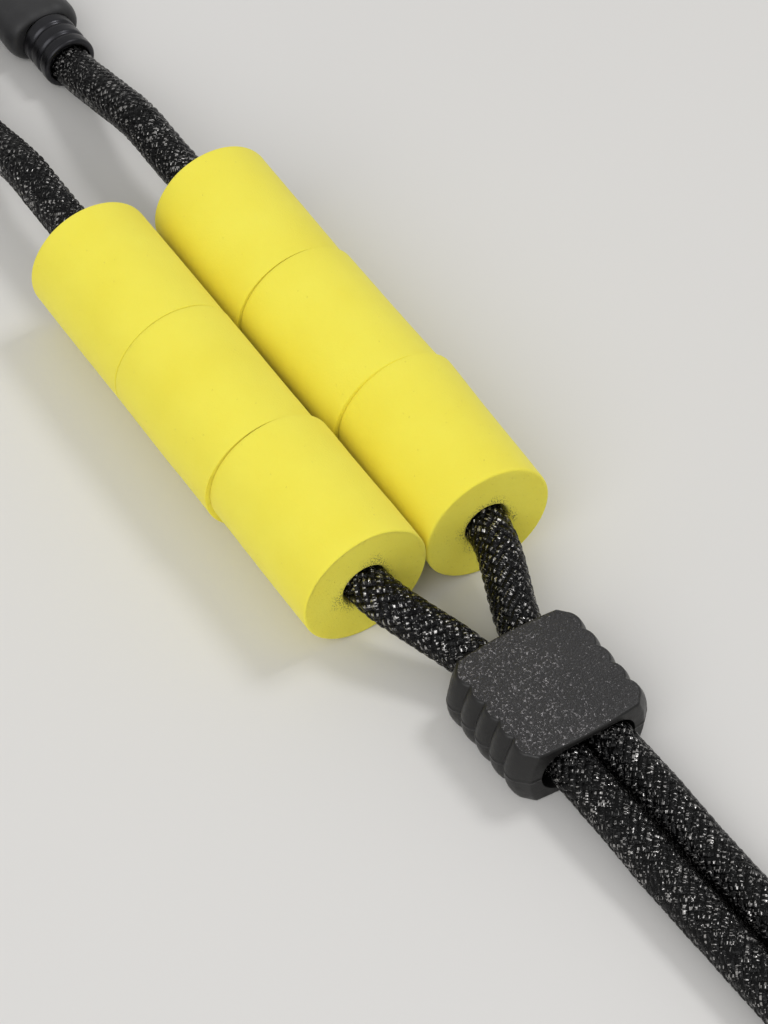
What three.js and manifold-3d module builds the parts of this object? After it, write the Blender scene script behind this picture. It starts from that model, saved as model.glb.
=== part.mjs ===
// A floating eyewear retainer: one braided cord runs from the left temple sleeve through three
// foam floats and a slide adjuster, turns round at the tail, and comes back through the adjuster
// and three more floats to the right temple sleeve.
// Millimetres, +Z up. +X points from the temple sleeves to the tail; it rests on z = 0.

import * as THREE from 'three';
import { mergeVertices } from 'three/addons/utils/BufferGeometryUtils.js';
import Module from 'manifold-3d';

const wasm = await Module();
wasm.setup();

// ---------------------------------------------------------------- driving dimensions

// Foam floats
const floatDiameter = 17.6;
const floatLength = 22;
const floatEdge = 0.3; // the soft edge left by the die
const boreClearance = 0.5; // round the cord
const boreMouthEase = 0.6; // the bore opens out by this at each end
const boreMouthDepth = 3;
const columnGap = 0.3; // between the two columns of floats

// Cord
const cordDiameter = 5.8;
const cordSides = 10;
const cordSteps = 76;

// Slide adjuster
const ridgeCount = 5;
const ridgePitch = 3;
const ridgeDepth = 0.75;
const sliderEndLand = 1; // past the last ridge at each end
const sliderEndCrown = 0.4;
const sliderCornerStep = 1.75; // the flat ends are this much narrower at each side
const sliderWall = 1.1; // above and below the slot
const sliderSideWall = 2; // beside the slot, at the top face
const sliderBulge = 1.3; // each side stands this much wider at mid height
const slotCordGap = 0.3; // between the two cords in the slot
const slotHeightClearance = 0.4; // above and below the cord
const slotSideClearance = 0.7; // outside each cord
const slotMouthEase = 0.4; // the slot opens out by this at each end
const slotMouthDepth = 2;

// Crimp collars, where each cord end enters its sleeve
const collarLength = 7;
const collarWall = 0.8;
const collarEdge = 0.6;
const collarClearance = 0.3;

// Temple sleeves
const sleeveWall = 1.5; // round the temple socket
const sleeveEdge = 0.6;
const socketWidth = 8.4; // the eyewear's temple arm is pushed in here
const socketHeight = 5.2;
const socketCorner = 1;
const socketDepth = 19;
const socketWeb = 2.4; // between the temple socket and the cord's socket
const cordSocketDepth = 8.6;
const cordSocketWall = 0.8;
const cordSocketClearance = 0.4;
const endGap = 0.3; // between a collar and its sleeve

// ---------------------------------------------------------------- sizes that follow

const slotWidth = 2 * cordDiameter + slotCordGap + 2 * slotSideClearance;
const slotHeight = cordDiameter + 2 * slotHeightClearance;
const sliderThickness = slotHeight + 2 * sliderWall;
const sliderTopWidth = slotWidth + 2 * sliderSideWall; // over the tips of the grip ridges
const sliderLength = ridgeCount * ridgePitch + 2 * sliderEndLand;

const collarBore = cordDiameter + 2 * collarClearance;
const collarDiameter = collarBore + 2 * collarWall;

const cordSocketDiameter = cordDiameter + 2 * cordSocketClearance;
const sleeveLength = socketDepth + socketWeb + cordSocketDepth;
const sleeveWidth = socketWidth + 2 * sleeveWall;
const sleeveHeight = Math.max(
  socketHeight + 2 * sleeveWall, cordSocketDiameter + 2 * cordSocketWall);

// How finely the round surfaces are divided
const roundSides = 48;
const boreSides = 32;
const ridgeArcSteps = 6;
const slotSteps = 24; // along the slot, so that its mouths curve
const sliderLayers = 8; // up the slider's bulging sides

// ---------------------------------------------------------------- places

const columnLine = 9.4; // y where the two columns meet
const boreHeight = 8.8; // the cord's height through the floats
const sideY = { left: 0.3, right: 18.2 }; // the cord's line through each column

// Each float lies a little out of line with its neighbours: how far it stands off the
// column line, how it is turned in plan, and the gap to the float in front of it.
const floats = [
  { name: 'left_front_float', side: 'left', standOff: 0.1, turn: 0, gap: 0 },
  { name: 'left_middle_float', side: 'left', standOff: 0.75, turn: 0, gap: 0.35 },
  { name: 'left_rear_float', side: 'left', standOff: 0.75, turn: 0, gap: 0.7 },
  { name: 'right_front_float', side: 'right', standOff: 0.4, turn: -2.5, gap: 0.1 },
  { name: 'right_middle_float', side: 'right', standOff: 0.3, turn: 0, gap: 0.5 },
  { name: 'right_rear_float', side: 'right', standOff: 0.1, turn: -1.5, gap: 0.9 },
];

const sliderPlace = { rearX: 15.4, y: 10.6, turn: 0.5 };
const sliderX = sliderPlace.rearX + sliderLength / 2;
const collarFrontX = -106; // the end nearest the floats

// The cord's route, from the end inside the left sleeve round the tail to the right sleeve.
const cordRoute = [
  [-121, 0.3, 4.1], [-105, 0.3, 4.1], [-95.5, 0.3, 6.4], [-86, 0.3, 8.8], [-79, 0.3, 8.8],
  [-8, 0.3, 8.8], [-2.6, 0.3, 8.8], [2.6, 1.3, 8.1], [12.4, 6.2, 5.1], [17.4, 7.4, 4.4],
  [32.5, 7.9, 4.4], [43, 8.3, 4.2], [121.9, 11.7, 4.1], [129.9, 12.1, 4.1],
  [137.9, 10.9, 3.9], [144.7, 6.4, 3.4], [152.6, 2.6, 3], [161.2, 3.4, 3],
  [167.3, 8.8, 3], [169.5, 17, 3],
  [166.5, 25, 3], [160, 29.8, 3], [151.4, 29.8, 3], [143.9, 25.4, 3.4], [137.5, 20.3, 3.9],
  [129.7, 18.3, 4.1], [121.7, 17.9, 4.1], [42.8, 14.5, 4.2], [32.3, 14, 4.4],
  [17.4, 13.6, 4.4], [12.4, 14.4, 5.1], [2.6, 17.6, 8.1], [-2.6, 18.2, 8.8], [-8, 18.2, 8.8],
  [-79, 18.2, 8.8], [-86, 18.2, 8.8], [-95.5, 18.2, 6.4], [-105, 18.2, 4.1], [-121, 18.2, 4.1],
];

// ---------------------------------------------------------------- materials

const material = (color, roughness, metalness = 0) =>
  new THREE.MeshStandardMaterial({ color, roughness, metalness });

const foam = material(0xf0e35c, 0.9);
const braid = material(0x17171a, 0.45);
const mouldedBlack = material(0x393839, 0.6);
const silicone = material(0x1d1d1f, 0.7);
const anodised = material(0x2b2b2e, 0.35, 0.9);

// ---------------------------------------------------------------- helpers

const radians = THREE.MathUtils.degToRad;

// Turns a closed three.js geometry into a solid that can be joined and cut.
function solid(geometry) {
  const bare = geometry.clone();
  bare.deleteAttribute('normal');
  bare.deleteAttribute('uv');
  const merged = mergeVertices(bare, 1e-4);
  return new wasm.Manifold(new wasm.Mesh({
    numProp: 3,
    vertProperties: new Float32Array(merged.attributes.position.array),
    triVerts: new Uint32Array(merged.index.array),
  }));
}

function geometryOf(body) {
  const { vertProperties, triVerts, numProp } = body.getMesh();
  const geometry = new THREE.BufferGeometry();
  const places = new Float32Array((vertProperties.length / numProp) * 3);
  for (let i = 0; i < places.length / 3; i++) {
    places.set(vertProperties.subarray(i * numProp, i * numProp + 3), i * 3);
  }
  geometry.setAttribute('position', new THREE.BufferAttribute(places, 3));
  geometry.setIndex(new THREE.BufferAttribute(new Uint32Array(triVerts), 1));
  geometry.computeVertexNormals();
  return geometry;
}

// A rod with broken edges, centred on the origin and lying along X.
function rod(diameter, length, edge, sides = roundSides) {
  const r = diameter / 2;
  const h = length / 2;
  const profile = [[0, -h], [r - edge, -h], [r, -h + edge], [r, h - edge], [r - edge, h], [0, h]];
  const geometry = new THREE.LatheGeometry(profile.map(([x, y]) => new THREE.Vector2(x, y)), sides);
  return geometry.rotateZ(-Math.PI / 2);
}

// The solid that cuts a float's bore: open at both ends, and wider at the two mouths.
function boreCutter() {
  const r = cordDiameter / 2 + boreClearance;
  const mouth = r + boreMouthEase;
  const h = floatLength / 2;
  const profile = [[0, -2 * h], [mouth, -2 * h], [mouth, -h], [r, boreMouthDepth - h],
    [r, h - boreMouthDepth], [mouth, h], [mouth, 2 * h], [0, 2 * h]];
  const geometry = new THREE.LatheGeometry(profile.map(([x, y]) => new THREE.Vector2(x, y)), boreSides);
  return geometry.rotateZ(-Math.PI / 2);
}

// Sections drawn across X: width along Y, height along Z. This one has fully round sides.
function oblong(width, height) {
  const shape = new THREE.Shape();
  const x = (width - height) / 2;
  shape.absarc(x, 0, height / 2, -Math.PI / 2, Math.PI / 2);
  shape.absarc(-x, 0, height / 2, Math.PI / 2, 1.5 * Math.PI);
  return shape;
}

// A rectangle with round corners.
function roundedBox(width, height, corner) {
  const shape = new THREE.Shape();
  const x = width / 2 - corner;
  const y = height / 2 - corner;
  shape.absarc(x, y, corner, 0, Math.PI / 2);
  shape.absarc(-x, y, corner, Math.PI / 2, Math.PI);
  shape.absarc(-x, -y, corner, Math.PI, 1.5 * Math.PI);
  shape.absarc(x, -y, corner, 1.5 * Math.PI, 2 * Math.PI);
  return shape;
}

// Extrudes a shape drawn in Y and Z from startX along +X.
function alongX(shape, startX, length, options = {}) {
  const geometry = new THREE.ExtrudeGeometry(shape, {
    depth: length, bevelEnabled: false, curveSegments: 8, ...options,
  });
  geometry.rotateY(Math.PI / 2);
  geometry.rotateX(Math.PI / 2);
  return geometry.translate(startX, 0, 0);
}

function mesh(name, geometry, finish) {
  const part = new THREE.Mesh(geometry, finish);
  part.name = name;
  return part;
}

// ---------------------------------------------------------------- the pieces

// A foam cylinder, turned a little on the cord that it is threaded on. Its bore follows the cord.
function makeFloat({ name, side, standOff, turn }, frontX) {
  const away = (floatDiameter + columnGap) / 2 + standOff;
  const axisY = side === 'left' ? columnLine - away : columnLine + away;
  const middle = new THREE.Vector3(frontX - floatLength / 2, axisY, floatDiameter / 2);
  const outside = rod(floatDiameter, floatLength, floatEdge)
    .rotateZ(radians(turn))
    .translate(middle.x, middle.y, middle.z);
  const bore = boreCutter().translate(middle.x, sideY[side], boreHeight);
  return mesh(name, geometryOf(solid(outside).subtract(solid(bore))), foam);
}

// One side of the slider's outline: the grip ridges, as arcs from -X to +X.
function ridgePoints(width) {
  const half = ridgePitch / 2;
  const radius = (half ** 2 + ridgeDepth ** 2) / (2 * ridgeDepth);
  const spread = Math.asin(half / radius);
  const points = [];
  for (let i = 0; i < ridgeCount; i++) {
    const middle = (i - (ridgeCount - 1) / 2) * ridgePitch;
    const first = i === 0 ? 0 : 1;
    for (let k = first; k <= ridgeArcSteps; k++) {
      const angle = spread * ((2 * k) / ridgeArcSteps - 1);
      points.push([
        middle + radius * Math.sin(angle),
        width / 2 - radius * (1 - Math.cos(angle)),
      ]);
    }
  }
  return points;
}

// The solid that cuts the slider's slot, with its two mouths opened out.
function slotCutter() {
  const reach = sliderLength / 2 + slotMouthDepth;
  const geometry = alongX(oblong(slotWidth, slotHeight), -reach, 2 * reach, { steps: slotSteps });
  const place = geometry.attributes.position;
  for (let i = 0; i < place.count; i++) {
    const inside = Math.max(0, sliderLength / 2 - Math.abs(place.getX(i)));
    const ease = slotMouthEase * Math.max(0, 1 - inside / slotMouthDepth);
    place.setY(i, place.getY(i) * (1 + (2 * ease) / slotWidth));
    place.setZ(i, place.getZ(i) * (1 + (2 * ease) / slotHeight));
  }
  return geometry;
}

// The flat slider: ridged sides that stand out at mid height, and one wide slot for both cords.
function makeSlider() {
  const width = sliderTopWidth + 2 * sliderBulge;
  const ridges = ridgePoints(width);
  const corner = [sliderLength / 2, width / 2 - sliderCornerStep];
  const crown = [sliderLength / 2 + sliderEndCrown, 0];
  const upper = [[-corner[0], corner[1]], ...ridges, corner, crown];
  const lower = [[corner[0], -corner[1]], ...ridges.map(([x, y]) => [x, -y]).reverse(),
    [-corner[0], -corner[1]], [-crown[0], 0]];
  const outline = new THREE.Shape([...upper, ...lower].map(([x, y]) => new THREE.Vector2(x, y)));
  const body = new THREE.ExtrudeGeometry(outline, {
    depth: sliderThickness, steps: sliderLayers, bevelEnabled: false,
  });
  body.translate(0, 0, -sliderThickness / 2);
  const place = body.attributes.position;
  for (let i = 0; i < place.count; i++) {
    const height = place.getZ(i) / (sliderThickness / 2);
    place.setY(i, place.getY(i) * (1 - (2 * sliderBulge / width) * height ** 2));
  }
  const cut = solid(body).subtract(solid(slotCutter()));
  const slider = mesh('slide_adjuster', geometryOf(cut), mouldedBlack);
  slider.position.set(sliderX, sliderPlace.y, sliderThickness / 2);
  slider.rotation.z = radians(sliderPlace.turn);
  return slider;
}

function makeCord() {
  const route = new THREE.CatmullRomCurve3(
    cordRoute.map(([x, y, z]) => new THREE.Vector3(x, y, z)), false, 'centripetal');
  const section = new THREE.Shape();
  section.absarc(0, 0, cordDiameter / 2, 0, 2 * Math.PI);
  const geometry = new THREE.ExtrudeGeometry(section, {
    steps: cordSteps, curveSegments: cordSides / 2, extrudePath: route, bevelEnabled: false,
  });
  return mesh('cord', geometry, braid);
}

function makeCollar(side) {
  const middleX = collarFrontX - collarLength / 2;
  const outside = rod(collarDiameter, collarLength, collarEdge);
  const bore = rod(collarBore, 2 * collarLength, 0, boreSides);
  const collar = mesh(`${side}_crimp_collar`, geometryOf(solid(outside).subtract(solid(bore))),
    anodised);
  collar.position.set(middleX, sideY[side], sleeveHeight / 2);
  return collar;
}

// A soft sleeve: an oblong socket for the eyewear's temple arm behind, the cord's socket in front.
function makeSleeve(side) {
  const frontX = collarFrontX - collarLength - endGap;
  const rearX = frontX - sleeveLength;
  const core = oblong(sleeveWidth - 2 * sleeveEdge, sleeveHeight - 2 * sleeveEdge);
  const outside = alongX(core, rearX + sleeveEdge, sleeveLength - 2 * sleeveEdge, {
    bevelEnabled: true, bevelThickness: sleeveEdge, bevelSize: sleeveEdge, bevelSegments: 3,
  });
  const socket = alongX(roundedBox(socketWidth, socketHeight, socketCorner), rearX - sleeveEdge,
    socketDepth + sleeveEdge);
  const cordSocket = rod(cordSocketDiameter, 2 * cordSocketDepth, 0, boreSides)
    .translate(frontX, 0, 0);
  const cut = solid(outside).subtract(solid(socket)).subtract(solid(cordSocket));
  const sleeve = mesh(`${side}_temple_sleeve`, geometryOf(cut), silicone);
  sleeve.position.set(0, sideY[side], sleeveHeight / 2);
  return sleeve;
}

// ---------------------------------------------------------------- the whole retainer

const strap = new THREE.Group();
const nextFront = { left: 0, right: 0 };
for (const spec of floats) {
  const frontX = nextFront[spec.side] - spec.gap;
  strap.add(makeFloat(spec, frontX));
  nextFront[spec.side] = frontX - floatLength;
}
strap.add(makeSlider(), makeCord());
for (const side of ['left', 'right']) {
  strap.add(makeCollar(side), makeSleeve(side));
}

// The frame's origin is on the resting surface, midway along everything but the cord.
const frontEnd = sliderPlace.rearX + sliderLength + sliderEndCrown;
const rearEnd = collarFrontX - collarLength - endGap - sleeveLength;
strap.position.set(-(frontEnd + rearEnd) / 2, -columnLine, 0);

const group = new THREE.Group();
group.add(strap);

export default group;
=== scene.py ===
"""A floating eyewear retainer on a pale floor: two rows of foam floats on one braided cord, a
moulded slide adjuster, a tail loop, and soft temple sleeves at the cord's two ends."""

import math

import bpy
import numpy as np
from mathutils import Matrix, Vector, noise


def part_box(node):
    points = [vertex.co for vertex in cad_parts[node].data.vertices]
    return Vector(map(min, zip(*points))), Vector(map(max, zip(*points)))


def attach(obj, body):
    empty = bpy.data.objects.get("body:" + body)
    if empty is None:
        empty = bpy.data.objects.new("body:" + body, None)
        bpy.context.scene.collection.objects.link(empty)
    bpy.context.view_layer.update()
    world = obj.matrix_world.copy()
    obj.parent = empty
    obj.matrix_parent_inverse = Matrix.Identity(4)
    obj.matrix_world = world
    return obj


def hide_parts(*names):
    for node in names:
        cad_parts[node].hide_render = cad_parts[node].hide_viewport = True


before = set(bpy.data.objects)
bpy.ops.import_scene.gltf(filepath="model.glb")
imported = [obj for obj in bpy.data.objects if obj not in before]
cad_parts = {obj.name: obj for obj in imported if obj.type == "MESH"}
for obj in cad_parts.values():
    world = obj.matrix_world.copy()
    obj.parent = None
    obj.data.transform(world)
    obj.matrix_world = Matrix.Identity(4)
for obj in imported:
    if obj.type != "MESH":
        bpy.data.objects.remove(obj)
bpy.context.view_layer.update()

FLOATS = [
    {"name": f"{side}_{place}_float", "side": side, "turn": turn}
    for side, place, turn in (
        ("left", "front", 0),
        ("left", "middle", 0),
        ("left", "rear", 0),
        ("right", "front", -2.5),
        ("right", "middle", 0),
        ("right", "rear", -1.5),
    )
]
SIDE_LINE = {"left": 0.0003, "right": 0.0182}  # the cord's line through each row

# The strap's own frame: x is 0 at the front face of the left row.
STRAP_PLACE = Vector((
    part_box("left_front_float")[1].x,
    (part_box("left_crimp_collar")[0].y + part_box("left_crimp_collar")[1].y) / 2 - SIDE_LINE["left"],
    0,
))

# ---------------------------------------------------------------- the camera

CAMERA_PLACE = Vector((0.2605, -0.1392, 0.3106))
CAMERA_TARGET = Vector((0.0404, 0.0031, 0))
CAMERA_LENS = 112.5
CAMERA_ROLL = 0.19


def add_camera():
    """A long lens at the photograph's viewing angle."""
    data = bpy.data.cameras.new("camera")
    data.lens = CAMERA_LENS
    data.sensor_width = 36
    data.clip_start = 0.01
    data.clip_end = 50
    camera = bpy.data.objects.new("camera", data)
    bpy.context.scene.collection.objects.link(camera)
    camera.location = CAMERA_PLACE
    facing = (CAMERA_TARGET - CAMERA_PLACE).to_track_quat("-Z", "Y").to_matrix().to_4x4()
    roll = Matrix.Rotation(math.radians(CAMERA_ROLL), 4, "Z")
    camera.rotation_euler = (facing @ roll).to_euler()
    bpy.context.scene.camera = camera


add_camera()

# ---------------------------------------------------------------- mesh helpers


def mesh_object(name, points, faces, uvs=None):
    """An object made of points and faces, its normals out, with one UV for each face corner."""
    mesh = bpy.data.meshes.new(name)
    mesh.from_pydata(np.asarray(points).tolist(), [], [list(f) for f in faces])
    if uvs is not None:
        layer = mesh.uv_layers.new(name="along")
        layer.data.foreach_set("uv", np.asarray(uvs, np.float32).ravel())
    mesh.validate()
    mesh.update()
    made = bpy.data.objects.new(name, mesh)
    bpy.context.scene.collection.objects.link(made)
    return made


def add_measure(piece, name, values):
    """Gives each point of a mesh a number that its material reads."""
    piece.data.attributes.new(name, "FLOAT", "POINT").data.foreach_set("value", values)


def smooth(piece, sharp_angle=35):
    """Smooth shading, with edges sharper than the angle kept."""
    piece.data.shade_smooth()
    piece.data.set_sharp_from_angle(angle=math.radians(sharp_angle))


def ring_faces(rings, around):
    """The quads between rings of points, each ring closed on itself."""
    row = np.arange(rings - 1)[:, None] * around
    here = np.arange(around)[None, :]
    after = (here + 1) % around
    quads = np.stack([row + here, row + after, row + around + after, row + around + here], -1)
    return quads.reshape(-1, 4)


def tube_faces(rings, around):
    """The quads between rings of points, and from the last ring back to the first."""
    first = np.arange(around)
    last = first + (rings - 1) * around
    joined = np.stack([last, np.roll(last, -1), np.roll(first, -1), first], 1)
    return np.vstack([ring_faces(rings, around), joined])


def at_x(section, x):
    """A section's points, which are (y, z), put at one x."""
    return np.stack([np.full(len(section), x), section[:, 0], section[:, 1]], 1)


def quarter_turn(count):
    """Evenly spaced angles from 0 to a right angle."""
    return np.linspace(0, math.pi / 2, count)


def full_turn(count):
    """Evenly spaced angles round a circle."""
    return np.linspace(0, 2 * math.pi, count, endpoint=False)


def loft(name, rings):
    """A closed skin over rings with the same number of points, capped at both ends."""
    rings = np.asarray(rings)
    count, around = rings.shape[:2]
    points = rings.reshape(-1, 3)
    faces = ring_faces(count, around).tolist()
    last = (count - 1) * around
    faces.append(list(range(around))[::-1])
    faces.append(list(range(last, last + around)))
    corners = points[np.array(faces[:-2])]
    fan = np.cross(corners[:, 1] - corners[:, 0], corners[:, 2] - corners[:, 0])
    fan += np.cross(corners[:, 2] - corners[:, 0], corners[:, 3] - corners[:, 0])
    if (fan * corners[:, 0]).sum() < 0:
        faces = [f[::-1] for f in faces]
    return mesh_object(name, points, faces)


# ---------------------------------------------------------------- the cord

CORD_DIAMETER = 0.0058
CORD_ROUTE = [
    (-0.121, 0.0003, 0.0041), (-0.105, 0.0003, 0.0041), (-0.0955, 0.0003, 0.0064),
    (-0.086, 0.0003, 0.0088), (-0.079, 0.0003, 0.0088), (-0.008, 0.0003, 0.0088),
    (-0.0026, 0.0003, 0.0088), (0.0026, 0.0013, 0.0081), (0.0124, 0.0062, 0.0051),
    (0.0174, 0.0074, 0.0044), (0.0325, 0.0079, 0.0044), (0.043, 0.0083, 0.0042),
    (0.1219, 0.0117, 0.0041), (0.1299, 0.0121, 0.0041), (0.1379, 0.0109, 0.0039),
    (0.1447, 0.0064, 0.0034), (0.1526, 0.0026, 0.003), (0.1612, 0.0034, 0.003),
    (0.1673, 0.0088, 0.003), (0.1695, 0.017, 0.003), (0.1665, 0.025, 0.003),
    (0.16, 0.0298, 0.003), (0.1514, 0.0298, 0.003), (0.1439, 0.0254, 0.0034),
    (0.1375, 0.0203, 0.0039), (0.1297, 0.0183, 0.0041), (0.1217, 0.0179, 0.0041),
    (0.0428, 0.0145, 0.0042), (0.0323, 0.014, 0.0044), (0.0174, 0.0136, 0.0044),
    (0.0124, 0.0144, 0.0051), (0.0026, 0.0176, 0.0081), (-0.0026, 0.0182, 0.0088),
    (-0.008, 0.0182, 0.0088), (-0.079, 0.0182, 0.0088), (-0.086, 0.0182, 0.0088),
    (-0.0955, 0.0182, 0.0064), (-0.105, 0.0182, 0.0041), (-0.121, 0.0182, 0.0041),
]
SAG = 0.0007  # how far the long free stretch settles towards the floor
SAG_FROM, SAG_TO = 0.040, 0.107  # between the slider's two end positions
SAG_EASE = 0.012  # the length over which it settles

CARRIERS = 12  # strands that wind each way
BRAID_LEAD = 0.0168  # a strand goes once round the cord in this length
BRAID_STEP = 0.00045  # between a strand's rings
STRAND_OUT = 0.00253  # a strand's middle, between over and under
STRAND_SWING = 0.00014  # how far it moves out over the others, and in under them
STRAND_HOLD = 1.5  # above 1, it runs level for a while at both
STRAND_WANDER = 0.00006
WANDERS_PER_METRE = 90
STRAND_WIDTH = 0.0011
STRAND_RISE = 0.00025
STRAND_DROP = 0.00015
CORE_RADIUS = 0.00226
CORE_SIDES = 16
CORE_EVERY = 5  # the core has a ring at every fifth step of the braid
UV_APART = 3.0  # between strands, so that no two have the same filaments


def smoothstep(t):
    """Eases from 0 to 1."""
    t = np.clip(t, 0, 1)
    return t * t * (3 - 2 * t)


def catmull_rom(points, per_span=24):
    """The centripetal Catmull-Rom curve through the points."""
    p = np.array(points, float)
    p = np.vstack([2 * p[0] - p[1], p, 2 * p[-1] - p[-2]])
    t = np.arange(per_span)[:, None] / per_span
    out = []
    for a, b, c, d in zip(p[:-3], p[1:-2], p[2:-1], p[3:]):
        before, span, after = (math.sqrt(np.linalg.norm(v)) for v in (b - a, c - b, d - c))
        leave = ((b - a) / before - (c - a) / (before + span) + (c - b) / span) * span
        arrive = ((c - b) / span - (d - b) / (span + after) + (d - c) / after) * span
        square = -3 * b + 3 * c - 2 * leave - arrive
        cube = 2 * b - 2 * c + leave + arrive
        out.append(b + leave * t + square * t**2 + cube * t**3)
    out.append(p[-2][None, :])
    return np.vstack(out)


def evenly(line, step):
    """The line again, with points that far apart, and how far along it each one is."""
    far = np.concatenate([[0], np.cumsum(np.linalg.norm(np.diff(line, axis=0), axis=1))])
    at = np.linspace(0, far[-1], round(far[-1] / step) + 1)
    return np.stack([np.interp(at, far, line[:, k]) for k in range(3)], 1), at


def cord_line():
    """The cord's middle, on its route, settled a little where nothing holds it up."""
    line, at = evenly(catmull_rom(CORD_ROUTE), BRAID_STEP)
    into = smoothstep((line[:, 0] - SAG_FROM) / SAG_EASE)
    out_of = smoothstep((SAG_TO - line[:, 0]) / SAG_EASE)
    line[:, 2] -= SAG * into * out_of
    return line + np.array(STRAP_PLACE), at


def unit(v):
    """Vectors scaled to a length of 1."""
    return v / np.linalg.norm(v, axis=-1, keepdims=True)


def strand_section():
    """Half a lens, a round back that shows and a flat belly, and how much painted glint each point
    takes.
    """
    half = STRAND_WIDTH / 2
    section = np.array([
        (-half, 0), (-0.62 * half, 0.72 * STRAND_RISE), (0, STRAND_RISE),
        (0.62 * half, 0.72 * STRAND_RISE), (half, 0), (0, -STRAND_DROP),
    ])
    return section, np.array([0, 0.8, 1, 0.8, 0, 0])


def braid_strand(line, at, side, up, index, way):
    """The rings of one strand, which goes over two strands and under two, and its crowns, which place
    the painted glints.
    """
    turns = index / CARRIERS + way * at / BRAID_LEAD
    angle = 2 * math.pi * turns
    outward = np.cos(angle)[:, None] * side + np.sin(angle)[:, None] * up
    crossing = 2 * CARRIERS * at / BRAID_LEAD
    phase = 2 * index + way * crossing - (0.5 if way > 0 else 2.5)
    wave = np.clip(STRAND_HOLD * np.cos(math.pi / 2 * phase), -1, 1)
    wander = np.array([
        noise.noise(Vector((s * WANDERS_PER_METRE, index, way * 3.7))) for s in at
    ])
    out = STRAND_OUT + STRAND_SWING * wave + STRAND_WANDER * wander
    middle = line + outward * out[:, None]
    ahead = unit(np.gradient(middle, axis=0))
    across = unit(np.cross(ahead, outward))
    back = np.cross(across, ahead)
    section, glint_share = strand_section()
    rings = (middle[:, None, :] + section[None, :, :1] * across[:, None, :]
             + section[None, :, 1:] * back[:, None, :])
    return rings, glint_share[None, :] * (0.5 + 0.5 * wave[:, None])


def add_cord():
    """One braided cord: two sets of strands that wind opposite ways over a core."""
    line, at = cord_line()
    ahead = unit(np.gradient(line, axis=0))
    side = unit(np.cross(ahead, (0, 0, 1)))
    up = np.cross(side, ahead)
    around = len(strand_section()[0])
    count = len(line)
    points, crowns, faces, uvs = [], [], [], []
    base = 0
    for way in (1, -1):
        for index in range(CARRIERS):
            rings, crown = braid_strand(line, at, side, up, index, way)
            points.append(rings.reshape(-1, 3))
            crowns.append(crown.ravel())
            quads = ring_faces(count, around)[:, ::-1]
            faces += (quads + base).tolist()
            ring_at, place = np.divmod(np.arange((count - 1) * around), around)
            strand = (index + (0 if way > 0 else CARRIERS)) * UV_APART
            u = np.stack([place, place, place + 1, place + 1], 1) / around + strand
            v = np.stack([at[ring_at], at[ring_at + 1], at[ring_at + 1], at[ring_at]], 1)
            uvs.append(np.stack([u, v], -1).reshape(-1, 2))
            for cap in (range(around), range((count - 1) * around, count * around)):
                loop = list(cap) if cap[0] == 0 else list(cap)[::-1]
                faces.append([base + k for k in loop])
                uvs.append(np.zeros((around, 2)))
            base += count * around
    keep = slice(None, None, CORE_EVERY)
    angle = full_turn(CORE_SIDES)
    core = (line[keep, None, :] + CORE_RADIUS * (np.cos(angle)[None, :, None] * side[keep, None, :]
            + np.sin(angle)[None, :, None] * up[keep, None, :]))
    quads = ring_faces(len(core), CORE_SIDES)[:, ::-1]
    last = (len(core) - 1) * CORE_SIDES
    points.append(core.reshape(-1, 3))
    crowns.append(np.zeros(len(core) * CORE_SIDES))
    faces += (quads + base).tolist()
    faces.append([base + k for k in range(CORE_SIDES)])
    faces.append([base + last + k for k in range(CORE_SIDES)][::-1])
    uvs.append(np.zeros((4 * len(quads) + 2 * CORE_SIDES, 2)))
    cord = mesh_object("braided_cord", np.vstack(points), faces, np.vstack(uvs))
    add_measure(cord, "crown", np.concatenate(crowns))
    smooth(cord, 70)
    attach(cord, "cord_and_ends")
    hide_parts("cord")
    long = float(np.linalg.norm(np.diff(line, axis=0), axis=1).sum())
    return cord


# ---------------------------------------------------------------- material helpers


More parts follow.
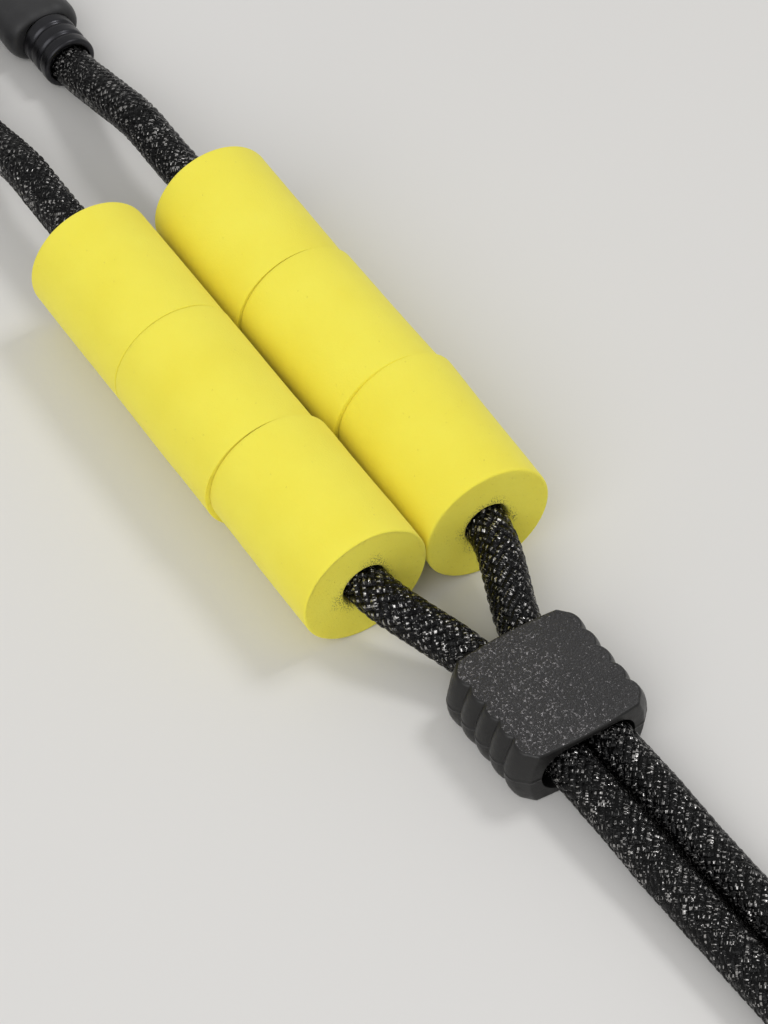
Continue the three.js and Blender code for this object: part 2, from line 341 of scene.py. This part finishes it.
class Nodes:
    """A material's node tree, with short calls for the few kinds of node used here."""

    def __init__(self, name):
        self.material = bpy.data.materials.new(name)
        self.material.use_nodes = True
        self.tree = self.material.node_tree
        self.shader = self.tree.nodes["Principled BSDF"]

    def add(self, kind, **inputs):
        """A node, with inputs fed by name."""
        node = self.tree.nodes.new(kind)
        for key, value in inputs.items():
            self.feed(node.inputs[key.replace("_", " ").title()], value)
        return node

    def feed(self, socket, value):
        """Links a socket to another node's output, or sets it to a value."""
        if isinstance(value, bpy.types.NodeSocket):
            self.tree.links.new(value, socket)
        else:
            socket.default_value = value

    def place(self, kind="Object", scale=(1, 1, 1)):
        """Where a point of the surface is, on the piece itself."""
        source = self.add("ShaderNodeTexCoord").outputs[kind]
        if scale == (1, 1, 1):
            return source
        mapping = self.add("ShaderNodeMapping", vector=source, scale=scale)
        return mapping.outputs["Vector"]

    def measure(self, name):
        """A number that add_measure stored on the mesh."""
        node = self.add("ShaderNodeAttribute")
        node.attribute_name = name
        return node.outputs["Fac"]

    def noise(self, scale, where=None, detail=2.0, roughness=0.5):
        """Soft noise from 0 to 1, with about that many grains to the metre."""
        where = where or self.place()
        node = self.add("ShaderNodeTexNoise", vector=where, scale=scale, detail=detail,
                        roughness=roughness)
        return node.outputs["Fac"]

    def cells(self, scale):
        """How far a point is from the middle of its cell, with that many cells to the metre."""
        node = self.add("ShaderNodeTexVoronoi", vector=self.place(), scale=scale)
        return node.outputs["Distance"]

    def ramp(self, value, *stops):
        """Blends colours or greys at the given places from 0 to 1."""
        node = self.add("ShaderNodeValToRGB")
        self.feed(node.inputs["Fac"], value)
        ramp = node.color_ramp
        while len(ramp.elements) < len(stops):
            ramp.elements.new(0.5)
        for element, (at, colour) in zip(ramp.elements, stops):
            element.position = at
            element.color = (*colour, 1) if hasattr(colour, "__len__") else (colour,) * 3 + (1,)
        return node.outputs["Color"]

    def sum(self, a, b, share):
        """a plus share times b."""
        node = self.tree.nodes.new("ShaderNodeMath")
        node.operation = "MULTIPLY_ADD"
        self.feed(node.inputs[0], b)
        node.inputs[1].default_value = share
        self.feed(node.inputs[2], a)
        return node.outputs[0]

    def mix(self, factor, a, b):
        """Colour a, or b where the factor is 1."""
        node = self.tree.nodes.new("ShaderNodeMix")
        node.data_type = "RGBA"
        self.feed(node.inputs[0], factor)
        self.feed(node.inputs[6], a if not isinstance(a, tuple) else (*a, 1))
        self.feed(node.inputs[7], b if not isinstance(b, tuple) else (*b, 1))
        return node.outputs[2]

    def bump(self, height, distance, strength=1.0):
        """The normal of a surface that rises by that distance where the height is 1."""
        node = self.add("ShaderNodeBump", height=height, distance=distance, strength=strength)
        return node.outputs["Normal"]

    def finish(self, **inputs):
        """Feeds the shader, by short names for its sockets, and gives the material."""
        for key, value in inputs.items():
            name = {"sheen": "Sheen Weight", "sheen_roughness": "Sheen Roughness",
                    "subsurface": "Subsurface Weight", "specular": "Specular IOR Level",
                    "radius": "Subsurface Radius", "scale": "Subsurface Scale",
                    }.get(key, key.replace("_", " ").title())
            if key == "colour":
                name = "Base Color"
                value = (*value, 1) if isinstance(value, tuple) else value
            self.feed(self.shader.inputs[name], value)
        return self.material


# ---------------------------------------------------------------- materials

YELLOW_LIT = (0.935, 0.84, 0.09)
YELLOW_DEEP = (0.90, 0.79, 0.07)
# painted shade: the darker colour in the foam's pits and open cells
YELLOW_PIT_SHADE = (0.66, 0.55, 0.05)
FIBRE_DUST = (0.05, 0.042, 0.02)
FOAM_GLOW = {"radius": (1.0, 0.8, 0.25), "scale": 0.0012}  # how light spreads under the surface
FILAMENT = (0.0012, 0.0012, 0.0014)
# painted glint: the bright metallic colour of the strands' streaks
FILAMENT_PAINTED_GLINT = (0.42, 0.41, 0.40)
FACE_DARK = (0.0185, 0.0178, 0.0184)
FACE_PALE = (0.023, 0.022, 0.0226)
# painted glint: the bright metallic colour of the slider top's specks
FACE_PAINTED_GLINT = (0.24, 0.23, 0.235)
# painted shade: the slider's sides and ends are coloured darker than its top
SIDE_SHADE_DARK = (0.0105, 0.0102, 0.010)
SIDE_SHADE_PALE = (0.015, 0.0146, 0.0142)
SILICONE_DARK = (0.013, 0.013, 0.014)
SILICONE_PALE = (0.022, 0.022, 0.024)
METAL_DARK = (0.03, 0.03, 0.033)
METAL_PALE = (0.045, 0.045, 0.05)
PAPER_DARK = (0.718, 0.708, 0.692)
PAPER_PALE = (0.733, 0.723, 0.71)


def foam_skin():
    """Closed-cell foam's outside: fine grain, a soft bloom and a few pits, darkened with painted
    shade.
    """
    n = Nodes("foam_skin")
    patches = n.noise(90, detail=3)
    grain = n.noise(3800, detail=2, roughness=0.7)
    pits = n.ramp(n.cells(620), (0.0, 1.0), (0.075, 0.0))
    body = n.mix(n.ramp(patches, (0.3, 0.0), (0.7, 1.0)), YELLOW_LIT, YELLOW_DEEP)
    colour = n.mix(n.sum(pits, pits, -0.55), body, YELLOW_PIT_SHADE)
    height = n.sum(grain, pits, -1.6)
    normal = n.bump(height, 0.00007, 0.8)
    return n.finish(colour=colour, roughness=0.82, normal=normal, sheen=0.12,
                    sheen_roughness=0.5, subsurface=0.12, specular=0.3, **FOAM_GLOW)


def foam_cut():
    """The cut ends: open cells, so rougher and with painted shade in the cells, with dark fibre dust
    from the cord by the bore.
    """
    n = Nodes("foam_cut")
    patches = n.noise(140, detail=3)
    grain = n.noise(2600, detail=3, roughness=0.75)
    open_cells = n.ramp(n.cells(1500), (0.0, 1.0), (0.2, 0.0))
    body = n.mix(n.ramp(patches, (0.3, 0.0), (0.7, 1.0)), YELLOW_LIT, YELLOW_DEEP)
    bare = n.mix(n.sum(open_cells, open_cells, -0.75), body, YELLOW_PIT_SHADE)
    beside_bore = n.ramp(n.measure("outward"), (0.0, 0.5), (0.4, 0.0))
    near = n.ramp(n.sum(beside_bore, n.noise(330, detail=1), 0.9), (0.70, 0.0), (1.0, 1.0))
    specks = n.ramp(n.noise(4600, detail=2, roughness=0.8), (0.52, 0.0), (0.60, 0.85))
    dust = n.mix(near, (0.0, 0.0, 0.0), specks)
    colour = n.mix(dust, bare, FIBRE_DUST)
    height = n.sum(grain, open_cells, -0.9)
    normal = n.bump(height, 0.00012, 0.9)
    return n.finish(colour=colour, roughness=0.92, normal=normal, sheen=0.08,
                    sheen_roughness=0.6, subsurface=0.1, specular=0.2, **FOAM_GLOW)


def braid():
    """Black filaments along each strand, with painted glints: bright metallic streaks here and there
    where it stands out.
    """
    n = Nodes("braid")
    filaments = n.noise(1.0, n.place("UV", (12, 430, 1)), detail=1, roughness=0.5)
    kinks = n.noise(1.0, n.place("UV", (4, 2100, 1)), detail=2, roughness=0.6)
    height = n.sum(filaments, kinks, 0.4)
    # painted glints: bright metallic streaks, most on the crowns of strands that lie over others
    glint = n.ramp(n.sum(filaments, n.measure("crown"), 0.2), (0.74, 0.0), (0.82, 1.0))
    colour = n.mix(glint, FILAMENT, FILAMENT_PAINTED_GLINT)
    rough = n.ramp(kinks, (0.35, 0.36), (0.65, 0.2))
    normal = n.bump(height, 0.0002, 1.0)
    return n.finish(colour=colour, roughness=rough, normal=normal, specular=0.16,
                    metallic=glint)


def slider_top():
    """A spark-eroded face: tiny grains, and painted glints on the grain tips, more of them towards
    -Y.
    """
    n = Nodes("slider_top")
    fine = n.noise(3000, detail=2, roughness=0.7)
    body = n.ramp(n.noise(150, detail=2), (0.3, FACE_DARK), (0.7, FACE_PALE))
    across = n.add("ShaderNodeSeparateXYZ", vector=n.place()).outputs["Y"]
    # painted glints: more of them towards -Y, fading towards +Y
    glint_share = n.ramp(n.sum(0.66, across, -70), (0.0, 0.0), (0.55, 1.0))
    glint_tips = n.ramp(n.sum(fine, glint_share, 0.09), (0.665, 0.0), (0.75, 1.0))
    colour = n.mix(glint_tips, body, FACE_PAINTED_GLINT)
    rough = n.ramp(n.noise(2500, detail=1), (0.35, 0.26), (0.65, 0.46))
    return n.finish(colour=colour, roughness=rough, normal=n.bump(fine, 0.00016, 1.0),
                    specular=0.4, metallic=glint_tips)


def slider_side():
    """The moulded sides: smoother, with faint scuffs, and coloured darker than the top as painted
    shade.
    """
    n = Nodes("slider_side")
    fine = n.noise(4200, detail=2, roughness=0.6)
    scuffs = n.noise(220, detail=3)
    colour = n.ramp(scuffs, (0.3, SIDE_SHADE_DARK), (0.7, SIDE_SHADE_PALE))
    rough = n.ramp(n.noise(900, detail=3), (0.3, 0.30), (0.7, 0.48))
    return n.finish(colour=colour, roughness=rough, normal=n.bump(fine, 0.00004, 0.7),
                    specular=0.35)


def silicone():
    """Soft matt silicone with a dusty bloom."""
    n = Nodes("silicone")
    colour = n.ramp(n.noise(120, detail=3), (0.3, SILICONE_DARK), (0.75, SILICONE_PALE))
    rough = n.ramp(n.noise(400, detail=3), (0.3, 0.5), (0.7, 0.68))
    return n.finish(colour=colour, roughness=rough, sheen=0.15, sheen_roughness=0.4,
                    normal=n.bump(n.noise(3500, detail=2), 0.00003, 0.6))


def anodised():
    """Black anodised aluminium, turned: fine rings round it."""
    n = Nodes("anodised")
    rings = n.noise(1.0, n.place("Object", (9000, 60, 60)), detail=2)
    rough = n.ramp(rings, (0.3, 0.24), (0.7, 0.42))
    colour = n.ramp(n.noise(300, detail=2), (0.3, METAL_DARK), (0.7, METAL_PALE))
    return n.finish(colour=colour, roughness=rough, metallic=0.9,
                    normal=n.bump(rings, 0.00002, 0.5))


def floor_paper():
    """Pale warm grey paper."""
    n = Nodes("floor_paper")
    colour = n.ramp(n.noise(6, detail=3), (0.3, PAPER_DARK), (0.7, PAPER_PALE))
    return n.finish(colour=colour, roughness=0.75, specular=0.2,
                    normal=n.bump(n.noise(900, detail=3), 0.00004, 0.3))


# ---------------------------------------------------------------- floats

FLOAT_SIDES = 144
FREE_EDGE = 0.0003  # the rounding of an end that nothing touches
JOINT_EDGE = 0.0001  # and of an end that a neighbour presses on
FLOAT_GAP = 0.00008  # left between floats of a row
BORE_RADIUS = 0.00305
BORE_EDGE = 0.0005
BORE_HEIGHT = 0.0088
FACE_RINGS = 12
BODY_RINGS = 44
WIDE_WOBBLE = 0.0001
SMALL_WOBBLE = 0.00002
SEED_STEP = 7.1  # between floats, so that no two are uneven in the same way


def end_profile(radius, half, edge):
    """(x, radius, share of the way from the bore's middle to the float's axis) for each ring."""
    quarter = quarter_turn(6)
    bore = [(x, BORE_RADIUS, 0) for x in np.linspace(0, half - BORE_EDGE, 10)]
    lip = [(half - BORE_EDGE * (1 - math.sin(a)), BORE_RADIUS + BORE_EDGE * (1 - math.cos(a)), 0)
           for a in quarter[1:]]
    inner, outer = BORE_RADIUS + BORE_EDGE, radius - edge
    face = [(half, inner + (outer - inner) * t, t) for t in np.linspace(0, 1, FACE_RINGS)[1:]]
    rim = [(half - edge * (1 - math.cos(a)), outer + edge * math.sin(a), 1) for a in quarter[1:]]
    return bore + lip + face + rim


def float_profile(radius, half, front_edge, rear_edge):
    """The rings of a float: out of its bore, over the front, along it, and in at the rear."""
    front = end_profile(radius, half, front_edge)
    rear = [(-x, r, t) for x, r, t in end_profile(radius, half, rear_edge)[::-1]]
    body = [(x, radius, 1) for x in np.linspace(half - front_edge, rear_edge - half, BODY_RINGS)]
    return front + body[1:-1] + rear


def wobble(point, seed):
    """The slight unevenness of cut foam."""
    wide = noise.noise(point * 85 + Vector((seed, 0, 0)))
    small = noise.noise(point * 420 + Vector((0, seed, 0)))
    return WIDE_WOBBLE * wide + SMALL_WOBBLE * small


def float_ends(number):
    """Each end's x, turn and edge, front then rear: neighbours meet flat, half way."""
    spec = FLOATS[number]
    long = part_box("left_front_float")[1].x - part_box("left_front_float")[0].x
    middle = sum(c.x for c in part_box(spec["name"])) / 2
    ends = []
    for way in (1, -1):
        x, turn, edge = middle + way * long / 2, spec["turn"], FREE_EDGE
        beside = number - way
        if 0 <= beside < len(FLOATS) and FLOATS[beside]["side"] == spec["side"]:
            other = sum(c.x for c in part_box(FLOATS[beside]["name"])) / 2 - way * long / 2
            x = (x + other) / 2 - way * FLOAT_GAP / 2
            turn, edge = 0, JOINT_EDGE
        ends.append((x, math.radians(turn), edge))
    return ends


def add_float(number, skin, cut):
    """One float, with its bore on the cord's line, and turned a little on the cord."""
    spec = FLOATS[number]
    low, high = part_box(spec["name"])
    (front_x, front_turn, front_edge), (rear_x, rear_turn, rear_edge) = float_ends(number)
    centre = Vector(((front_x + rear_x) / 2, (low.y + high.y) / 2, (low.z + high.z) / 2))
    radius = (high.z - low.z) / 2
    half = (front_x - rear_x) / 2
    turn = math.radians(spec["turn"])
    off_line = SIDE_LINE[spec["side"]] + STRAP_PLACE.y - centre.y
    rings = []
    angle = full_turn(FLOAT_SIDES)
    away = np.stack([np.zeros(FLOAT_SIDES), np.cos(angle), np.sin(angle)], 1)
    profile = float_profile(radius, half, front_edge, rear_edge)
    for x, r, share in profile:
        across = off_line / math.cos(turn) - math.tan(turn) * x
        middle_y = across * (1 - share)
        middle_z = (BORE_HEIGHT - centre.z) * (1 - share)
        ring = np.stack([np.full(FLOAT_SIDES, x), middle_y + r * np.cos(angle),
                         middle_z + r * np.sin(angle)], 1)
        if share > 0:
            moved = [wobble(Vector(p), number * SEED_STEP) * share for p in ring]
            end = np.sign(x) * np.array([1.0, 0, 0])
            on_face = 1.0 if abs(x) > half - 1e-6 else 0.0
            ring = ring + np.array(moved)[:, None] * (end * on_face + away * (1 - on_face))
        tilt = rear_turn + (front_turn - rear_turn) * (x + half) / (2 * half)
        spin = np.array(Matrix.Rotation(tilt, 3, "Z"))
        along = np.array([math.cos(turn), math.sin(turn), 0]) * x
        rings.append((ring - (x, 0, 0)) @ spin.T + along + np.array(centre))
    points = np.array(rings).reshape(-1, 3)
    points[:, 2] = np.maximum(points[:, 2], 0)  # the foam gives where it lies on the floor
    piece = mesh_object(f"{spec['name']}_foam", points, tube_faces(len(rings), FLOAT_SIDES))
    add_measure(piece, "outward", np.repeat([share for _, _, share in profile], FLOAT_SIDES))
    piece.data.materials.append(skin)
    piece.data.materials.append(cut)
    is_cut = [0 if (profile[k][2] == 1 and profile[k + 1][2] == 1) else 1
              for k in range(len(profile) - 1)] + [1]
    piece.data.polygons.foreach_set("material_index", np.repeat(is_cut, FLOAT_SIDES))
    smooth(piece, 60)
    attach(piece, spec["name"])
    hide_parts(spec["name"])
    return piece


# ---------------------------------------------------------------- slide adjuster

RIDGES = 5
RIDGE_PITCH = 0.003
RIDGE_DEPTH = 0.00075
END_LAND = 0.001
END_CROWN = 0.0004
CORNER_STEP = 0.00175
SLIDER_BULGE = 0.0013
SLIDER_FILLET = 0.0003
PARTING_PROUD = 0.00005
PARTING_HALF = 0.00006  # half the height of the parting line
SLIDER_TURN = 0.5
SLIDER_WALL = 0.002  # beside the slot, at the top and base
SLOT_WIDTH = 0.0133
SLOT_HEIGHT = 0.0068
SLOT_FLARE = 0.0003
SLOT_FLARE_DEPTH = 0.0009
OUTLINE_STEP = 0.00012
FACE_SCALES = 14
FACE_SMALLEST = 0.05  # the innermost ring of the top and base, as a share of the outline


def slider_outline(width):
    """The outline at mid height, as evenly spaced points anticlockwise from the +X end."""
    half_length = RIDGES * RIDGE_PITCH / 2 + END_LAND
    half_pitch = RIDGE_PITCH / 2
    bend = (half_pitch**2 + RIDGE_DEPTH**2) / (2 * RIDGE_DEPTH)
    corner_y = width / 2 - CORNER_STEP
    end = [(half_length + END_CROWN * (1 - t * t), corner_y * t) for t in np.linspace(0, 1, 30)]
    ridges = []
    for k in range(RIDGES):
        middle = ((RIDGES - 1) / 2 - k) * RIDGE_PITCH
        for u in np.linspace(half_pitch, -half_pitch, 24):
            ridges.append((middle + u, width / 2 - bend + math.sqrt(bend**2 - u * u)))
    quarter = end + ridges
    top = quarter + [(-x, y) for x, y in end[::-1]]
    loop = np.array(top + [(-x, -y) for x, y in top[1:]])
    closed = np.vstack([loop, loop[:1]])
    far = np.concatenate([[0], np.cumsum(np.linalg.norm(np.diff(closed, axis=0), axis=1))])
    count = int(far[-1] / OUTLINE_STEP)
    at = np.linspace(0, far[-1], count, endpoint=False)
    even = np.stack([np.interp(at, far, closed[:, k]) for k in range(2)], 1)
    for _ in range(2):
        even = (np.roll(even, 1, 0) + 2 * even + np.roll(even, -1, 0)) / 4
    return even


def outline_normals(loop):
    """Which way is out, at each point of the outline."""
    ahead = np.roll(loop, -1, 0) - np.roll(loop, 1, 0)
    out = np.stack([ahead[:, 1], -ahead[:, 0]], 1)
    return out / np.linalg.norm(out, axis=1, keepdims=True)


def stadium(width, height, grow, count=64):
    """A slot's section, grown by a margin all round."""
    radius = height / 2 + grow
    straight = (width - height) / 2
    angle = np.linspace(-math.pi / 2, math.pi / 2, count // 2)
    right = np.stack([straight + radius * np.cos(angle), radius * np.sin(angle)], 1)
    return np.vstack([right, -right])


def cut_away(piece, cutter):
    """Cuts the cutter out of the piece and removes it."""
    modifier = piece.modifiers.new("cut", "BOOLEAN")
    modifier.operation = "DIFFERENCE"
    modifier.solver = "EXACT"
    modifier.object = cutter
    graph = bpy.context.evaluated_depsgraph_get()
    mesh = bpy.data.meshes.new_from_object(piece.evaluated_get(graph), depsgraph=graph)
    piece.modifiers.clear()
    piece.data = mesh
    bpy.data.objects.remove(cutter)


def slider_levels(half_height):
    """(height, inset, stand-out of the parting line) from the base to the top."""
    bend = quarter_turn(6)
    foot = [(-half_height + SLIDER_FILLET * (1 - math.cos(a)), SLIDER_FILLET * (1 - math.sin(a)), 0)
            for a in bend]
    wall = half_height - SLIDER_FILLET
    lower = [(z, 0, 0) for z in np.linspace(-wall, -2 * PARTING_HALF, 12)[1:]]
    upper = [(-z, 0, 0) for z, _, _ in lower[::-1]]
    line = [(-PARTING_HALF, 0, 1), (PARTING_HALF, 0, 1)]
    return foot + lower + line + upper + [(-z, inset, 0) for z, inset, _ in foot[::-1]]


def add_slider(top, side):
    """The flat adjuster: ridged sides that lean out to mid height, and a slot for both cords."""
    low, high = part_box("slide_adjuster")
    centre = (low + high) / 2
    half_height = (high.z - low.z) / 2
    width = SLOT_WIDTH + 2 * SLIDER_WALL + 2 * SLIDER_BULGE
    loop = slider_outline(width)
    normal = outline_normals(loop)
    rings = []
    for z, inset, proud in slider_levels(half_height):
        ring = loop - normal * (inset - PARTING_PROUD * proud)
        lean = 1 - 2 * SLIDER_BULGE / width * (z / half_height) ** 2
        rings.append(np.stack([ring[:, 0], ring[:, 1] * lean, np.full(len(ring), z)], 1))
    inward = [np.array([s, s, 1]) for s in np.linspace(1, FACE_SMALLEST, FACE_SCALES)[1:]]
    base_face = [rings[0] * scale for scale in inward[::-1]]
    top_face = [rings[-1] * scale for scale in inward]
    slider = loft("slider_body", base_face + rings + top_face)
    slot = []
    reach = RIDGES * RIDGE_PITCH / 2 + END_LAND + END_CROWN
    for x in np.linspace(-reach - 0.002, reach + 0.002, 121):
        depth = max(0.0, reach - abs(x))
        share = max(0.0, 1 - depth / SLOT_FLARE_DEPTH)
        grow = SLOT_FLARE * (1 - math.sqrt(max(0.0, 1 - share**2)))
        slot.append(at_x(stadium(SLOT_WIDTH, SLOT_HEIGHT, grow), x))
    cut_away(slider, loft("slot_cutter", slot))
    turned = Matrix.Rotation(math.radians(SLIDER_TURN), 4, "Z")
    slider.data.transform(Matrix.Translation(centre) @ turned)
    slider.data.materials.clear()
    slider.data.materials.append(side)
    slider.data.materials.append(top)
    for face in slider.data.polygons:
        flat = abs(face.normal.z) > 0.98 and abs(face.center.z - centre.z) > half_height - 0.0001
        face.material_index = 1 if flat else 0
    smooth(slider, 40)
    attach(slider, "slider")
    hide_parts("slide_adjuster")
    return slider


# ---------------------------------------------------------------- sleeves and collars

RING_POINTS = 96
SOCKET = (0.0084, 0.0052, 0.001)  # the temple socket's width, height and corner radius
SOCKET_DEPTH = 0.019
CORD_SOCKET_DEPTH = 0.0086
CORD_SOCKET_RADIUS = 0.0033
CORD_SOCKET_EDGE = 0.0003
SLEEVE_LIP = 0.0007
SLEEVE_REAR_EDGE = 0.00077
SLEEVE_SHOULDER = 0.0011  # where the sides start, behind the rear edge
SLEEVE_NOSE = 0.0022  # how long the rounding in front is
SLEEVE_NOSE_DROP = 0.00099
SLEEVE_WAIST = 0.0005
COLLAR_ROOM = 0.0002  # between the cord and the collar's bore
COLLAR_LIP = 0.0001
COLLAR_EDGE = 0.0005
GROOVE_PLACE = 0.36  # the rolled grooves' distance from the middle, as a share of half the length
GROOVE_WIDTH = 0.00035
GROOVE_DEPTH = 0.0003


def rounded_ring(width, height, corner, count=RING_POINTS):
    """A rectangle with round corners, as points at even angles round its middle."""
    angle = full_turn(count)
    way = np.stack([np.cos(angle), np.sin(angle)], 1)
    low, high = np.zeros(count), np.full(count, width)
    for _ in range(40):
        middle = (low + high) / 2
        q = np.abs(way * middle[:, None]) - (np.array([width, height]) / 2 - corner)
        gap = np.linalg.norm(np.maximum(q, 0), axis=1) + np.minimum(q.max(1), 0) - corner
        low, high = np.where(gap < 0, middle, low), np.where(gap < 0, high, middle)
    return way * low[:, None]


def add_sleeve(side, finish):
    """A soft sleeve: an oblong socket behind, the cord's socket in front, and round lips."""
    name = f"{side}_temple_sleeve"
    low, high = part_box(name)
    centre = (low + high) / 2
    half = (high.x - low.x) / 2
    width, height = high.y - low.y, high.z - low.z
    bend = quarter_turn(7)
    rings = [at_x(rounded_ring(*SOCKET), x - half)
             for x in np.linspace(SOCKET_DEPTH, SLEEVE_LIP, 10)]
    for a in bend[1:]:
        grow = SLEEVE_LIP * (1 - math.cos(a))
        ring = rounded_ring(SOCKET[0] + 2 * grow, SOCKET[1] + 2 * grow, SOCKET[2] + grow)
        rings.append(at_x(ring, -half + SLEEVE_LIP * (1 - math.sin(a))))
    for a in bend:
        grow = SLEEVE_REAR_EDGE * (1 - math.sin(a))
        ring = rounded_ring(width - 2 * grow, height - 2 * grow, height / 2 - grow)
        rings.append(at_x(ring, -half + SLEEVE_REAR_EDGE * (1 - math.cos(a))))
    for x in np.linspace(-half + SLEEVE_SHOULDER, half - SLEEVE_NOSE, 34):
        waist = SLEEVE_WAIST * (1 - math.cos(2 * math.pi * (x + half) / (2 * half))) / 2
        ring = rounded_ring(width - 2 * waist, height - waist, height / 2 - waist / 2)
        rings.append(at_x(ring, x))
    for a in bend[1:]:
        grow = SLEEVE_NOSE_DROP * (1 - math.cos(a))
        ring = rounded_ring(width - 2 * grow, height - 2 * grow, height / 2 - grow)
        rings.append(at_x(ring, half - SLEEVE_NOSE * (1 - math.sin(a))))
    circle = 2 * CORD_SOCKET_RADIUS
    for depth in (0, CORD_SOCKET_EDGE, 0.002, CORD_SOCKET_DEPTH):
        grow = CORD_SOCKET_EDGE if depth == 0 else 0
        ring = rounded_ring(circle + 2 * grow, circle + 2 * grow, circle / 2 + grow - 1e-6)
        rings.append(at_x(ring, half - depth))
    sleeve = loft(f"{side}_silicone_sleeve", rings)
    sleeve.data.transform(Matrix.Translation(centre))
    sleeve.data.materials.append(finish)
    smooth(sleeve, 50)
    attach(sleeve, "cord_and_ends")
    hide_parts(name)
    return sleeve


def add_collar(side, finish):
    """A crimp collar with two rolled grooves."""
    name = f"{side}_crimp_collar"
    low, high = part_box(name)
    centre = (low + high) / 2
    half = (high.x - low.x) / 2
    radius = (high.z - low.z) / 2
    bore = CORD_DIAMETER / 2 + COLLAR_ROOM
    rear = [(-half, bore + COLLAR_LIP)]
    for a in quarter_turn(6):
        x = -half + COLLAR_EDGE * (1 - math.cos(a))
        rear.append((x, radius - COLLAR_EDGE * (1 - math.sin(a))))
    wall = []
    for x in np.linspace(-half + COLLAR_EDGE, half - COLLAR_EDGE, 61)[1:-1]:
        grooves = (-GROOVE_PLACE * half, GROOVE_PLACE * half)
        rolled = sum(math.exp(-((x - middle) / GROOVE_WIDTH) ** 2) for middle in grooves)
        wall.append((x, radius - GROOVE_DEPTH * rolled))
    front = [(-x, r) for x, r in rear[::-1]]
    mouth = half - COLLAR_LIP
    profile = [(0, bore), (-mouth, bore)] + rear + wall + front + [(mouth, bore)]
    angle = full_turn(RING_POINTS)
    circle = np.stack([np.cos(angle), np.sin(angle)], 1)
    points = np.array([at_x(r * circle, x) for x, r in profile]).reshape(-1, 3)
    faces = tube_faces(len(profile), RING_POINTS)
    collar = mesh_object(f"{side}_metal_collar", points, faces)
    collar.data.transform(Matrix.Translation(centre))
    collar.data.materials.append(finish)
    smooth(collar, 50)
    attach(collar, "cord_and_ends")
    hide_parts(name)
    return collar


# ---------------------------------------------------------------- floor and light

FLOOR_HALF = 3.0
LIGHT_FAR = 1.2
KEY_WAY = Vector((0.02, 0.62, 1.0))
KEY_SIZE = 0.3
KEY_POWER = 3.15
FILL_WAY = Vector((0.5, -0.7, 0.8))
FILL_SIZE = 1.0
FILL_POWER = 6.0
WORLD_COLOUR = (1.0, 0.995, 0.985, 1)
WORLD_LEVEL = 0.52  # straight up
WORLD_TILT = 0.06  # by this it is brighter towards -X, and darker towards +X


def add_floor():
    """A wide sheet at the height that the object lies on."""
    corners = [(-FLOOR_HALF, -FLOOR_HALF, 0), (FLOOR_HALF, -FLOOR_HALF, 0),
               (FLOOR_HALF, FLOOR_HALF, 0), (-FLOOR_HALF, FLOOR_HALF, 0)]
    floor = mesh_object("floor", corners, [(0, 1, 2, 3)])
    floor.data.materials.append(floor_paper())


def add_light(name, way, size, power):
    """A round soft light, that way from the origin and facing it."""
    data = bpy.data.lights.new(name, "AREA")
    data.shape = "DISK"
    data.size = size
    data.energy = power
    light = bpy.data.objects.new(name, data)
    bpy.context.scene.collection.objects.link(light)
    light.location = way.normalized() * LIGHT_FAR
    light.rotation_euler = (-way).to_track_quat("-Z", "Y").to_euler()


def add_world():
    """A pale dome, a little darker on the +X side."""
    world = bpy.data.worlds.new("studio")
    world.use_nodes = True
    tree = world.node_tree
    background = tree.nodes["Background"]
    background.inputs["Color"].default_value = WORLD_COLOUR
    axes = tree.nodes.new("ShaderNodeSeparateXYZ")
    tree.links.new(tree.nodes.new("ShaderNodeTexCoord").outputs["Generated"], axes.inputs[0])
    level = tree.nodes.new("ShaderNodeMath")
    level.operation = "MULTIPLY_ADD"
    tree.links.new(axes.outputs["X"], level.inputs[0])
    level.inputs[1].default_value = -WORLD_TILT
    level.inputs[2].default_value = WORLD_LEVEL
    tree.links.new(level.outputs[0], background.inputs["Strength"])
    bpy.context.scene.world = world


# ---------------------------------------------------------------- the whole scene

cord = add_cord()
cord.data.materials.append(braid())
skin, cut = foam_skin(), foam_cut()
for number in range(len(FLOATS)):
    add_float(number, skin, cut)
add_slider(slider_top(), slider_side())
soft_black, collar_black = silicone(), anodised()
for side in ("left", "right"):
    add_sleeve(side, soft_black)
    add_collar(side, collar_black)
add_floor()
add_light("key", KEY_WAY, KEY_SIZE, KEY_POWER)
add_light("fill", FILL_WAY, FILL_SIZE, FILL_POWER)
add_world()
bpy.context.scene.view_settings.view_transform = "Standard"
